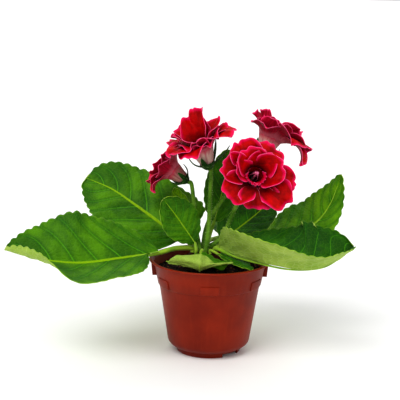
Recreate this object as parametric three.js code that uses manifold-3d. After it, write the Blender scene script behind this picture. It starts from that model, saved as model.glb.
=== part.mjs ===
// A gloxinia in a 12 cm moulded nursery pot: pot, soil, tuber, leaves, flower stalks and double flowers.
// Millimetres, +Z up. The origin is on the pot's axis, on the surface that the pot stands on.
import * as THREE from 'three';
import { mergeVertices } from 'three/addons/utils/BufferGeometryUtils.js';
import Module from 'manifold-3d';

const wasm = await Module();
wasm.setup();

// Driving dimensions of the pot
const rimRadius = 60;
const potHeight = 93;
const wall = 1.5;
const collarTopRadius = 55.5;
const collarFootRadius = 51;
const collarFootHeight = 69;
const bodyTopRadius = 49.7;
const bodyFootRadius = 40.7;
const shoulderHeight = 12;
const floorHeight = 5;
const footRadius = 31.5;
const footWidth = 2.2;
const padRadius = 8;
const drainRadius = 4;
const drainCircle = 20;
const drainCount = 6;
const potSides = 36;
const lugRadius = 58.3;
const lugWidth = 9;
const lugHeight = 15;
const tabCount = 6;
const tabHeight = 9;
const tabProud = 1;

// Clearance between pieces that touch
const gap = 0.3;

// Soil and the tuber's crown, which everything that grows starts from
const soilEdgeHeight = 83;
const soilCrownHeight = 92;
const crown = new THREE.Vector3(-6, 12, 96.4);
const stemStart = crown.z + 2 * gap;
const stemRise = 4;
const outerRing = 12;
const youngRing = 8.2;
const innerRing = 4.5;

// Leaves
const leafThickness = 1.2;
const bladeSteps = 10;
const bladeHalfSteps = 2;
const bladeBaseWidth = 2.2;
const bladeTipWidth = 0.8;
const petioleSides = 6;
const petioleSteps = 7;

// Flowers, measured along the flower's own axis from the foot of its tube
const petalThickness = 1;
const flowerSides = 20;
const lobeCount = 5;
const sepalCount = 5;
const stalkSides = 7;
const stalkSteps = 10;
const calyxFoot = -3;

const potMaterial = plain(0x86220a, 0.45);
const soilMaterial = plain(0x1d120c, 0.95);
const tuberMaterial = plain(0x4a2417, 0.8);
const leafMaterial = plain(0x2f7a14, 0.6);
const stalkMaterial = plain(0x5a9a2a, 0.6);
const calyxMaterial = plain(0x1f5a1c, 0.65);
const petalMaterial = plain(0xc8102e, 0.5);
const pistilMaterial = plain(0xc04a86, 0.5);

const plant = new THREE.Group();

function plain(color, roughness) {
  return new THREE.MeshStandardMaterial({ color, roughness, metalness: 0, side: THREE.DoubleSide });
}

function addPiece(name, geometry, material) {
  const mesh = new THREE.Mesh(geometry, material);
  mesh.name = name;
  plant.add(mesh);
  return mesh;
}

// Mesh geometry to a manifold-3d solid and back
function toSolid(geometry) {
  const bare = geometry.clone();
  bare.deleteAttribute('normal');
  bare.deleteAttribute('uv');
  const merged = mergeVertices(bare, 1e-4);
  return new wasm.Manifold(new wasm.Mesh({
    numProp: 3,
    vertProperties: new Float32Array(merged.attributes.position.array),
    triVerts: new Uint32Array(merged.index.array),
  }));
}

function toGeometry(solid) {
  const mesh = solid.getMesh();
  const geometry = new THREE.BufferGeometry();
  geometry.setAttribute('position', new THREE.BufferAttribute(mesh.vertProperties, 3));
  geometry.setIndex(new THREE.BufferAttribute(mesh.triVerts, 1));
  geometry.computeVertexNormals();
  return geometry;
}

// A solid turned about the Z axis from [radius, height] points
function turned(points, sides) {
  const profile = points.map(([radius, height]) => new THREE.Vector2(radius, height));
  const geometry = new THREE.LatheGeometry(profile, sides);
  geometry.rotateX(Math.PI / 2);
  return geometry;
}

function moveVertices(geometry, place) {
  const position = geometry.attributes.position;
  const point = new THREE.Vector3();
  for (let i = 0; i < position.count; i += 1) {
    point.fromBufferAttribute(position, i);
    place(point);
    position.setXYZ(i, point.x, point.y, point.z);
  }
  geometry.computeVertexNormals();
  return geometry;
}

function vectors(points) {
  return points.map(([x, y, z]) => new THREE.Vector3(x, y, z));
}

function smoothCurve(points) {
  return new THREE.CatmullRomCurve3(points, false, 'catmullrom', 0.5);
}

function round(radius, sides) {
  const shape = new THREE.Shape();
  for (let i = 0; i < sides; i += 1) {
    const angle = (2 * Math.PI * i) / sides;
    const x = radius * Math.cos(angle);
    const y = radius * Math.sin(angle);
    if (i === 0) {
      shape.moveTo(x, y);
    } else {
      shape.lineTo(x, y);
    }
  }
  shape.closePath();
  return shape;
}

function rod(points, radius, sides, steps) {
  return new THREE.ExtrudeGeometry(round(radius, sides), {
    steps,
    extrudePath: smoothCurve(points),
    bevelEnabled: false,
    curveSegments: 1,
  });
}

// A value given as one number, or as [base, middle, tip] along a leaf
function along(value, t) {
  if (!Array.isArray(value)) {
    return value;
  }
  const [base, middle, tip] = value;
  const half = t < 0.5 ? t * 2 : t * 2 - 1;
  const ease = half * half * (3 - 2 * half);
  return t < 0.5 ? base + (middle - base) * ease : middle + (tip - middle) * ease;
}

function pot() {
  const profile = [
    [0, 0],
    [padRadius, 0],
    [padRadius + 1, floorHeight - 1],
    [footRadius - footWidth, floorHeight - 1],
    [footRadius - footWidth, 0],
    [footRadius, 0],
    [footRadius + 1, floorHeight],
    [bodyFootRadius - 2.2, floorHeight + 3],
    [bodyFootRadius, shoulderHeight],
    [bodyTopRadius, collarFootHeight - 0.8],
    [collarFootRadius, collarFootHeight],
    [collarTopRadius, potHeight - 2.2],
    [rimRadius, potHeight - 1],
    [rimRadius, potHeight],
    [rimRadius - 3, potHeight],
    [collarTopRadius - wall + 0.4, potHeight - 3],
    [collarFootRadius - wall, collarFootHeight],
    [bodyTopRadius - wall, collarFootHeight - 2],
    [bodyFootRadius - wall, shoulderHeight + 1],
    [bodyFootRadius - wall - 3, floorHeight + 4],
    [footRadius, floorHeight + wall],
    [0, floorHeight + wall],
  ];
  let body = toSolid(turned(profile, potSides));

  // Two grip lugs under the rim, left and right
  const grip = turned([
    [0, potHeight - 1.6],
    [0, potHeight - 1.6 - lugHeight],
    [lugRadius - 2.5, potHeight - 1.6 - lugHeight],
    [lugRadius, potHeight - 1.6 - lugHeight + 2],
    [lugRadius, potHeight - 1.6],
    [0, potHeight - 1.6],
  ], potSides);
  const inside = toSolid(turned([
    [0, potHeight - lugHeight - 4],
    [collarFootRadius + 0.5, potHeight - lugHeight - 4],
    [collarTopRadius - wall / 2, potHeight - 1],
    [0, potHeight - 1],
  ], potSides));
  const band = new THREE.BoxGeometry(2 * rimRadius + 4, lugWidth, potHeight);
  band.translate(0, 0, potHeight / 2);
  body = body.add(toSolid(grip).intersect(toSolid(band)).subtract(inside));

  // Raised tabs around the foot of the collar
  const tabRing = toSolid(turned([
    [collarFootRadius - wall / 2, collarFootHeight + 0.2],
    [collarFootRadius + tabProud, collarFootHeight + 0.2],
    [collarFootRadius + tabProud + 1.7, collarFootHeight + tabHeight],
    [collarFootRadius + 0.4, collarFootHeight + tabHeight],
    [collarFootRadius - wall / 2, collarFootHeight + 0.2],
  ], potSides));
  for (let i = 0; i < tabCount; i += 1) {
    const wedge = new THREE.BoxGeometry(rimRadius, 2 * collarFootRadius * Math.sin(Math.PI / 18), potHeight);
    wedge.translate(rimRadius / 2 + padRadius, 0, potHeight / 2);
    wedge.rotateZ(Math.PI / 2 + (2 * Math.PI * i) / tabCount);
    body = body.add(tabRing.intersect(toSolid(wedge)));
  }

  // Drain holes through the floor, and two notches in the foot ring
  for (let i = 0; i < drainCount; i += 1) {
    const hole = new THREE.CylinderGeometry(drainRadius, drainRadius, floorHeight * 2, 12);
    hole.rotateX(Math.PI / 2);
    hole.translate(drainCircle, 0, floorHeight + wall);
    hole.rotateZ((2 * Math.PI * i) / drainCount);
    body = body.subtract(toSolid(hole));
  }
  const notch = new THREE.BoxGeometry(3 * footRadius, 2 * footRadius * Math.sin(Math.PI / 9), floorHeight - 1);
  notch.translate(0, 0, (floorHeight - 1) / 2 - gap);
  notch.rotateZ(-Math.PI / 4);
  const pad = new THREE.CylinderGeometry(padRadius + 2, padRadius + 2, potHeight, 24);
  pad.rotateX(Math.PI / 2);
  body = body.subtract(toSolid(notch).subtract(toSolid(pad)));
  return toGeometry(body);
}

function tuberProfile(grow) {
  return [
    [0, 70 - grow],
    [14 + grow, 74 - grow],
    [21 + grow, 83],
    [20 + grow, 90],
    [15 + grow, 95 + grow],
    [8, crown.z + grow],
    [0, crown.z + grow],
  ];
}

function tuber(grow) {
  const geometry = turned(tuberProfile(grow), 24);
  geometry.translate(crown.x, crown.y, 0);
  return geometry;
}

function soil() {
  const inner = (height) => {
    const rise = (height - shoulderHeight) / (collarFootHeight - shoulderHeight);
    return bodyFootRadius + rise * (bodyTopRadius - bodyFootRadius) - wall - gap;
  };
  const geometry = turned([
    [0, floorHeight + wall + gap],
    [footRadius - 1, floorHeight + wall + gap],
    [bodyFootRadius - wall - 3.6, floorHeight + 4.6],
    [inner(shoulderHeight + 3), shoulderHeight + 3],
    [inner(collarFootHeight - 4), collarFootHeight - 4],
    [inner(collarFootHeight - 2) - 0.3, collarFootHeight],
    [52, soilEdgeHeight - 0.6],
    [46, soilEdgeHeight + 1.5],
    [32, soilCrownHeight - 2.5],
    [16, soilCrownHeight],
    [0, soilCrownHeight],
  ], potSides);
  const pocket = turned([
    ...tuberProfile(gap).slice(0, 4),
    [20 + gap, soilCrownHeight + 8],
    [0, soilCrownHeight + 8],
  ], 24);
  pocket.translate(crown.x, crown.y, 0);
  return toGeometry(toSolid(geometry).subtract(toSolid(pocket)));
}

// Each leaf is one solid of petiole and blade. spine is the midrib from the blade's base to its tip,
// face is the side that the upper surface looks to, and fold lifts each half from the midrib.
const leaves = [
  {
    name: 'leaf_front_left', start: 198, petiole: 2.6,
    stem: [[-34, 3, 102]],
    spine: [[-50, -6, 100], [-90, -19, 96], [-127, -31, 94], [-164, -37, 99], [-197, -38, 108]],
    face: [[0, -0.5, 0.87], [0, -0.45, 0.87], [-0.2, -0.3, 0.9]],
    width: 52, left: 0.92, widest: [0.35, 0.5], fullness: [0.6, 0.55], from: [0.08, 0],
    foldLeft: [14, 14, 34], foldRight: [12, 30, 14],
  },
  {
    name: 'leaf_back_left', start: 166, petiole: 2.2,
    stem: [[-23, 17, 106]],
    spine: [[-31, 20, 107], [-50, 32, 120], [-80, 48, 138], [-102, 58, 150], [-128, 66, 159]],
    face: [[0.2, -0.8, 0.6], [0.25, -0.75, 0.6], [0.1, -0.7, 0.7]],
    width: 46, left: 1.05, widest: [0.45, 0.22], fullness: [0.45, 0.34], foldLeft: 8, foldRight: 4,
  },
  {
    name: 'leaf_front_right', start: 338, petiole: 2.4,
    stem: [],
    spine: [[9, 1, 103], [30, -18, 99], [62, -31, 95], [95, -35, 92], [122, -26, 99], [140, -14, 111]],
    face: [[0, 0, 1], [0, 0, 1], [-0.3, 0, 1]],
    width: 50, right: 0.88, widest: [0.66, 0.38], fullness: [0.42, 0.62], foldLeft: [52, 52, 62], foldRight: [66, 36, 18],
  },
  {
    name: 'leaf_back_right', start: 10, petiole: 2.3,
    stem: [[24, 22, 102]],
    spine: [[48, 34, 101], [82, 42, 107], [108, 47, 121], [123, 50, 142], [132, 52, 170]],
    face: [[-0.5, -0.5, 0.7], [-0.7, -0.6, 0.5], [-0.8, -0.6, 0.2]],
    width: 37, right: 0.52, widest: 0.4, fullness: 0.75, foldLeft: 0, foldRight: -45,
  },
  {
    name: 'leaf_front_small', start: 262, petiole: 2,
    stem: [],
    spine: [[-9, -6, 100], [-10, -25, 93], [-10, -41, 91], [-10, -46, 100], [-9, -38, 107]],
    face: [[0, 0, 1], [0, 0.5, 1], [0, 1, 0.2]],
    width: 33, widest: 0.6, fullness: 0.6, foldLeft: 14, foldRight: 12,
  },
  {
    name: 'leaf_centre_left', start: 230, petiole: 1.8,
    stem: [],
    spine: [[-15, 6, 107], [-24, 6, 120], [-35, 4, 136], [-47, 2, 152]],
    face: [[0.3, -0.9, 0.3], [0.3, -0.9, 0.3], [0.3, -0.9, 0.3]],
    width: 20, widest: 0.55, fullness: 0.6, foldLeft: 8, foldRight: 8,
  },
  {
    name: 'leaf_back_centre', start: 72, petiole: 2,
    stem: [[0, 28, 112]],
    spine: [[4, 31, 124], [10, 36, 147], [15, 40, 171], [18, 42, 195]],
    face: [[0, -1, 0.2], [0, -1, 0.2], [0, -1, 0.2]],
    width: 19, widest: 0.5, fullness: 0.5, foldLeft: 10, foldRight: 10,
  },
  {
    name: 'leaf_mid_right', start: 42, petiole: 2,
    stem: [],
    spine: [[12, 25, 106], [32, 38, 118], [50, 48, 131], [64, 54, 145]],
    face: [[-0.4, -0.7, 0.6], [-0.4, -0.7, 0.6], [-0.4, -0.7, 0.6]],
    width: 28, widest: 0.45, fullness: 0.6, foldLeft: 6, foldRight: 10,
  },
  {
    name: 'leaf_low_right', start: 302, petiole: 1.5,
    stem: [],
    spine: [[8, -4, 99], [24, -18, 94], [41, -33, 90]],
    face: [[0, 0, 1], [0, 0, 1], [0, 0, 1]],
    width: 10, widest: 0.5, fullness: 0.6, foldLeft: 8, foldRight: 8,
  },
  {
    name: 'leaf_young_left', start: 180, ring: youngRing, petiole: 1.1,
    stem: [[-15, 20, 108]],
    spine: [[-19, 28, 118], [-24, 32, 132], [-31, 34, 145], [-37, 34, 157]],
    face: [[0, -1, 0.2], [0, -1, 0.2], [0, -1, 0.2]],
    width: 8, widest: 0.5, fullness: 0.6, foldLeft: 10, foldRight: 20,
  },
  {
    name: 'leaf_rear_left', start: 134, petiole: 2.2,
    stem: [[-24, 34, 103]],
    spine: [[-38, 50, 106], [-58, 78, 110], [-74, 104, 110], [-86, 128, 104]],
    face: [[0.1, 0, 1], [0.1, 0, 1], [0, 0, 1]],
    width: 36, widest: 0.42, fullness: 0.58, foldLeft: 14, foldRight: 14,
  },
  {
    name: 'leaf_rear_right', start: 102, petiole: 2.2,
    stem: [[0, 36, 103]],
    spine: [[14, 54, 104], [32, 82, 106], [46, 106, 104], [56, 128, 96]],
    face: [[0, 0, 1], [0, 0, 1], [0, 0, 1]],
    width: 36, widest: 0.42, fullness: 0.58, foldLeft: 14, foldRight: 14,
  },
];

// A value given as one number, or as [left, right]
function onSide(value, side) {
  return Array.isArray(value) ? value[side > 0 ? 1 : 0] : value;
}

function leafWidth(leaf, t, side) {
  const from = onSide(leaf.from ?? 0, side);
  const reach = Math.max(t - from, 0) / (1 - from);
  const skew = Math.log(0.5) / Math.log(onSide(leaf.widest, side));
  const swell = Math.sin(Math.PI * reach ** skew) ** onSide(leaf.fullness, side);
  const share = (side > 0 ? leaf.right : leaf.left) ?? 1;
  const end = bladeBaseWidth + (bladeTipWidth - bladeBaseWidth) * t;
  return Math.max(leaf.width * share * swell, end);
}

function bladeFrame(leaf, curve, t) {
  const forward = curve.getPoint(Math.min(t + 0.01, 1)).sub(curve.getPoint(Math.max(t - 0.01, 0))).normalize();
  const faces = vectors(leaf.face);
  const axis = (key) => along(faces.map((face) => face[key]), t);
  const face = new THREE.Vector3(axis('x'), axis('y'), axis('z'));
  const across = new THREE.Vector3().crossVectors(forward, face).normalize();
  const up = new THREE.Vector3().crossVectors(across, forward);
  return { across, up };
}

function blade(leaf) {
  const curve = smoothCurve(vectors(leaf.spine));
  const geometry = new THREE.BoxGeometry(1, 2, leafThickness, bladeSteps, 2 * bladeHalfSteps, 1);
  return moveVertices(geometry, (point) => {
    const t = point.x + 0.5;
    const side = -point.y;
    const { across, up } = bladeFrame(leaf, curve, t);
    const fold = THREE.MathUtils.degToRad(along(side > 0 ? leaf.foldRight : leaf.foldLeft, t));
    const reach = Math.abs(side) * leafWidth(leaf, t, side);
    const lift = reach * Math.sin(fold) + point.z;
    const out = Math.sign(side) * reach * Math.cos(fold);
    point.copy(curve.getPoint(t)).addScaledVector(across, out).addScaledVector(up, lift);
  });
}

function startOnCrown(angle, radius) {
  const turn = THREE.MathUtils.degToRad(angle);
  return [crown.x + radius * Math.cos(turn), crown.y + radius * Math.sin(turn)];
}

function leafSolid(leaf) {
  const [x, y] = startOnCrown(leaf.start, leaf.ring ?? outerRing);
  const curve = smoothCurve(vectors(leaf.spine));
  const stem = [
    new THREE.Vector3(x, y, stemStart),
    new THREE.Vector3(x, y, stemStart + stemRise),
    ...vectors(leaf.stem),
    curve.getPoint(0),
    curve.getPoint(0.12),
  ];
  const petiole = rod(stem, leaf.petiole, petioleSides, petioleSteps);
  return toGeometry(toSolid(blade(leaf)).add(toSolid(petiole)));
}

// Flowers: foot is the bottom of the flower's tube, axis the way that it opens, size scales the corolla
const flowers = [
  {
    name: 'upper_left', foot: [-3, 10, 184], axis: [-0.36, -0.12, 0.93], size: 0.98, start: 300,
    stalk: [[-2, 9, 118], [-1, 11, 150]],
  },
  {
    name: 'lower_left', foot: [-25, 22, 167], axis: [-0.8, 0.05, 0.55], size: 0.78, start: 190,
    stalk: [[-14, 15, 118], [-17, 19, 146]],
  },
  {
    name: 'centre_right', foot: [40, 8, 173], axis: [0.12, -0.93, 0.34], size: 1, start: 20,
    stalk: [[12, 15, 112], [24, 17, 140], [37, 19, 166]],
  },
  {
    name: 'back_right', foot: [50, 36, 190], axis: [0.4, 0.32, 0.86], size: 0.95, start: 100,
    stalk: [[-2, 21, 125], [18, 27, 156], [40, 31, 176]],
  },
];

// Wall profiles as [radius, height] down the middle of the petal, and how far each point swings with the lobes
const outerWall = [[3.5, 1], [8, 6], [11, 16], [13, 25], [20, 31], [29, 33], [36, 32]];
const outerSwing = [0, 0, 0, 0, 0.04, 0.1, 0.17];
const innerWall = [[6.5, 9], [9, 18], [11.3, 26], [16, 34], [22, 39], [27, 41]];
const innerSwing = [0, 0, 0, 0.05, 0.12, 0.2];

function corolla(wallPoints, swing, size) {
  const half = petalThickness / 2;
  const offsets = wallPoints.map(([radius, height], i) => {
    const before = wallPoints[Math.max(i - 1, 0)];
    const after = wallPoints[Math.min(i + 1, wallPoints.length - 1)];
    const slope = new THREE.Vector2(after[0] - before[0], after[1] - before[1]).normalize();
    return { radius: radius * size, height: height * size, out: slope.y * half, down: -slope.x * half };
  });
  const outside = offsets.map((o) => [o.radius + o.out, o.height + o.down]);
  const inside = offsets.map((o) => [o.radius - o.out, o.height - o.down]).reverse();
  const profile = [...outside, ...inside, outside[0]];
  const swings = [...swing, ...[...swing].reverse(), swing[0]];
  const geometry = turned(profile, flowerSides);
  const position = geometry.attributes.position;
  for (let i = 0; i < position.count; i += 1) {
    const x = position.getX(i);
    const y = position.getY(i);
    const reach = swings[i % profile.length];
    const scale = 1 + reach * Math.cos(lobeCount * Math.atan2(y, x));
    position.setXY(i, x * scale, y * scale);
  }
  return geometry;
}

function calyx(size) {
  const profile = [
    [0, calyxFoot],
    [3.2, calyxFoot],
    [8.2, 1.2],
    [10.6, 7],
    [12.8, 13],
    [12, 13],
    [9.7, 7],
    [6.6, 2],
    [4.8, 0.2],
    [0, 0.2],
  ];
  const geometry = turned(profile.map(([radius, height]) => [radius * size, height * size]), flowerSides);
  const cup = 3 * size;
  const cut = 0.75;
  return moveVertices(geometry, (point) => {
    if (point.z > cup) {
      const between = Math.abs(Math.sin((sepalCount / 2) * Math.atan2(point.y, point.x)));
      point.z = cup + (point.z - cup) * (1 - cut * between);
    }
  });
}

function pistil(size) {
  const geometry = turned([[0, 4], [1, 4], [0.9, 24], [2, 26], [1.8, 29], [0, 30]], 8);
  geometry.scale(size, size, size);
  return geometry;
}

function stand(geometry, flower) {
  const axis = new THREE.Vector3(...flower.axis).normalize();
  const turn = new THREE.Quaternion().setFromUnitVectors(new THREE.Vector3(0, 0, 1), axis);
  geometry.applyQuaternion(turn);
  geometry.translate(...flower.foot);
  return geometry;
}

function stalk(flower) {
  const [x, y] = startOnCrown(flower.start, innerRing);
  const axis = new THREE.Vector3(...flower.axis).normalize();
  const top = new THREE.Vector3(...flower.foot).addScaledVector(axis, calyxFoot * flower.size - gap);
  const points = [
    new THREE.Vector3(x, y, stemStart),
    new THREE.Vector3(x, y, stemStart + stemRise),
    ...vectors(flower.stalk),
    top.clone().addScaledVector(axis, -stemRise),
    top,
  ];
  return rod(points, 2, stalkSides, stalkSteps);
}

addPiece('pot', pot(), potMaterial);
addPiece('soil', soil(), soilMaterial);
addPiece('tuber', tuber(0), tuberMaterial);
for (const leaf of leaves) {
  addPiece(leaf.name, leafSolid(leaf), leafMaterial);
}
for (const flower of flowers) {
  addPiece(`stalk_${flower.name}`, stalk(flower), stalkMaterial);
  addPiece(`calyx_${flower.name}`, stand(calyx(flower.size), flower), calyxMaterial);
  addPiece(`outer_petals_${flower.name}`, stand(corolla(outerWall, outerSwing, flower.size), flower), petalMaterial);
  addPiece(`inner_petals_${flower.name}`, stand(corolla(innerWall, innerSwing, flower.size), flower), petalMaterial);
  addPiece(`pistil_${flower.name}`, stand(pistil(flower.size), flower), pistilMaterial);
}

export default plant;
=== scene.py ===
# A gloxinia in a moulded nursery pot: quilted velvety leaves, downy stalks and double, pink-edged flowers.
import math
import random
import bpy
import bmesh
from mathutils import Vector, Matrix, noise


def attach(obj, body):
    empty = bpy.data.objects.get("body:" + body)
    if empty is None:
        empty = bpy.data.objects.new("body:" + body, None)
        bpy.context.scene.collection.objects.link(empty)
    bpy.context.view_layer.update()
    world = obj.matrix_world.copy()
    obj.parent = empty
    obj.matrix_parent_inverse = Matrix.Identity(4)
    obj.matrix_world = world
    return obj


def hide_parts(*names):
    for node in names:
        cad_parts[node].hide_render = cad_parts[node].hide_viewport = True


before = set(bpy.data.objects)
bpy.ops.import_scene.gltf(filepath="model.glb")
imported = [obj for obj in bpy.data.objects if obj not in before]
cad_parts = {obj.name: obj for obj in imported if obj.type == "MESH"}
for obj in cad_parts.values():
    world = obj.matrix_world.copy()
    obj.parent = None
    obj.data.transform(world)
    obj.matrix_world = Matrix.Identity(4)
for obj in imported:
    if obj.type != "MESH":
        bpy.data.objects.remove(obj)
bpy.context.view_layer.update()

mm = 0.001
scene = bpy.context.scene


def smooth(low, high, value):
    x = min(max((value - low) / (high - low), 0.0), 1.0)
    return x * x * (3 - 2 * x)


def mix(a, b, share):
    return a + (b - a) * share


def alongValue(value, t):
    # one number for the whole leaf, or [base, middle, tip]
    if not isinstance(value, (list, tuple)):
        return value
    base, middle, tip = value
    if t < 0.5:
        return mix(base, middle, smooth(0, 0.5, t))
    return mix(middle, tip, smooth(0.5, 1, t))


def curvePoint(points, t):
    spans = len(points) - 1
    x = min(max(t, 0.0), 1.0) * spans
    i = min(int(x), spans - 1)
    f = x - i
    p1, p2 = points[i], points[i + 1]
    p0 = points[i - 1] if i > 0 else 2 * p1 - p2
    p3 = points[i + 2] if i + 2 <= spans else 2 * p2 - p1
    return 0.5 * (2 * p1 + (p2 - p0) * f + (2 * p0 - 5 * p1 + 4 * p2 - p3) * f ** 2
                  + (3 * p1 - p0 - 3 * p2 + p3) * f ** 3)


def toMetres(points):
    return [Vector(p) * mm for p in points]


def sceneObject(name, bm):
    mesh = bpy.data.meshes.new(name)
    bm.to_mesh(mesh)
    bm.free()
    made = bpy.data.objects.new(name, mesh)
    scene.collection.objects.link(made)
    return made


def afterModifiers(made):
    # what the modifiers make of an object, as a mesh to go on working on
    solid = made.evaluated_get(bpy.context.evaluated_depsgraph_get())
    result = bmesh.new()
    result.from_mesh(solid.to_mesh())
    solid.to_mesh_clear()
    return result


def dropObject(made):
    mesh = made.data
    bpy.data.objects.remove(made)
    bpy.data.meshes.remove(mesh)


def finishPiece(name, bm, materials, nodes):
    piece = sceneObject(name, bm)
    piece.data.shade_smooth()
    for material in materials:
        piece.data.materials.append(material)
    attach(piece, "root")
    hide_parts(*nodes)
    return piece


def thicken(bm, thickness, levels, under, edge):
    # an open sheet becomes a closed shell, with its own material beneath and round the edge
    sheet = sceneObject("sheet", bm)
    for index in range(3):
        sheet.data.materials.append(None)
    if levels:
        fine = sheet.modifiers.new("fine", "SUBSURF")
        fine.levels = fine.render_levels = levels
    shell = sheet.modifiers.new("shell", "SOLIDIFY")
    shell.thickness = thickness
    shell.offset = -1
    shell.material_offset = under
    shell.material_offset_rim = edge
    closed = afterModifiers(sheet)
    dropObject(sheet)
    return closed


def addTube(bm, points, radii, sides, steps, slotIndex):
    # a tapered rod along a smooth curve, closed at both ends
    spread = [Vector((radius, 0, 0)) for radius in radii]
    side = Vector((1, 0.1, 0))
    places = []
    for i in range(steps + 1):
        t = i / steps
        ahead = (curvePoint(points, t + 0.01) - curvePoint(points, t - 0.01)).normalized()
        side = (side - ahead * side.dot(ahead)).normalized()
        turn = Matrix((side, ahead.cross(side), ahead)).transposed().to_4x4()
        radius = max(curvePoint(spread, t).x, 0.0001)
        places.append(Matrix.Translation(curvePoint(points, t)) @ turn @ Matrix.Scale(radius, 4))
    ring = bmesh.ops.create_circle(bm, cap_ends=True, segments=sides, radius=1, matrix=places[0])["verts"]
    edges = list(dict.fromkeys(e for v in ring for e in v.link_edges))
    faces = list(dict.fromkeys(f for v in ring for f in v.link_faces))
    for before, after in zip(places, places[1:]):
        grown = bmesh.ops.extrude_edge_only(bm, edges=edges)["geom"]
        verts = [g for g in grown if isinstance(g, bmesh.types.BMVert)]
        faces += [g for g in grown if isinstance(g, bmesh.types.BMFace)]
        bmesh.ops.transform(bm, matrix=after @ before.inverted(), verts=verts)
        fresh = set(verts)
        edges = [g for g in grown if isinstance(g, bmesh.types.BMEdge) and fresh.issuperset(g.verts)]
    faces += bmesh.ops.contextual_create(bm, geom=edges)["faces"]
    for face in faces:
        face.material_index = slotIndex
    bmesh.ops.recalc_face_normals(bm, faces=faces)
    return faces


# Small makers of shader nodes
def addNode(tree, kind, settings=None, inputs=None):
    made = tree.nodes.new(kind)
    for key, value in (settings or {}).items():
        setattr(made, key, value)
    for key, value in (inputs or {}).items():
        if isinstance(value, bpy.types.NodeSocket):
            tree.links.new(value, made.inputs[key])
        else:
            made.inputs[key].default_value = value
    return made


def calc(tree, operation, a, b=0.0):
    made = addNode(tree, "ShaderNodeMath", {"operation": operation}, {0: a, 1: b})
    return made.outputs[0]


def times(tree, a, b):
    return calc(tree, "MULTIPLY", a, b)


def rise(tree, value, low, high):
    made = addNode(tree, "ShaderNodeMapRange", {"interpolation_type": "SMOOTHSTEP"},
                   {"Value": value, "From Min": low, "From Max": high})
    return made.outputs[0]


def mixColor(tree, share, a, b):
    made = addNode(tree, "ShaderNodeMix", {"data_type": "RGBA"}, {0: share, 6: a, 7: b})
    return made.outputs[2]


def noiseOf(tree, place, scale, detail=3.0, rough=0.5):
    made = addNode(tree, "ShaderNodeTexNoise", None,
                   {"Vector": place, "Scale": scale, "Detail": detail, "Roughness": rough})
    return made.outputs[0]


def objectPlace(tree):
    return addNode(tree, "ShaderNodeTexCoord").outputs["Object"]


def bumpFrom(tree, height, strength, distance):
    made = addNode(tree, "ShaderNodeBump", None,
                   {"Height": height, "Strength": strength, "Distance": distance})
    return made.outputs[0]


def startMaterial(name, roughness, settings=None):
    material = bpy.data.materials.new(name)
    material.use_nodes = True
    tree = material.node_tree
    shader = tree.nodes["Principled BSDF"]
    shader.inputs["Roughness"].default_value = roughness
    for key, value in (settings or {}).items():
        shader.inputs[key].default_value = value
    return material, tree, shader


def softSkin(specular, sheen, tint, sheenRoughness=0.5):
    return {"Specular IOR Level": specular, "Sheen Weight": sheen, "Sheen Roughness": sheenRoughness,
            "Sheen Tint": tint}


def finishMaterial(tree, shader, color, height=None, strength=0.0, depth=0.0):
    tree.links.new(color, shader.inputs["Base Color"])
    if height is not None:
        tree.links.new(bumpFrom(tree, height, strength, depth), shader.inputs["Normal"])


def rgb(red, green, blue):
    # screen colour to linear
    def linear(c):
        c = c / 255
        return c / 12.92 if c <= 0.04045 else ((c + 0.055) / 1.055) ** 2.4
    return (linear(red), linear(green), linear(blue), 1.0)


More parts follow.
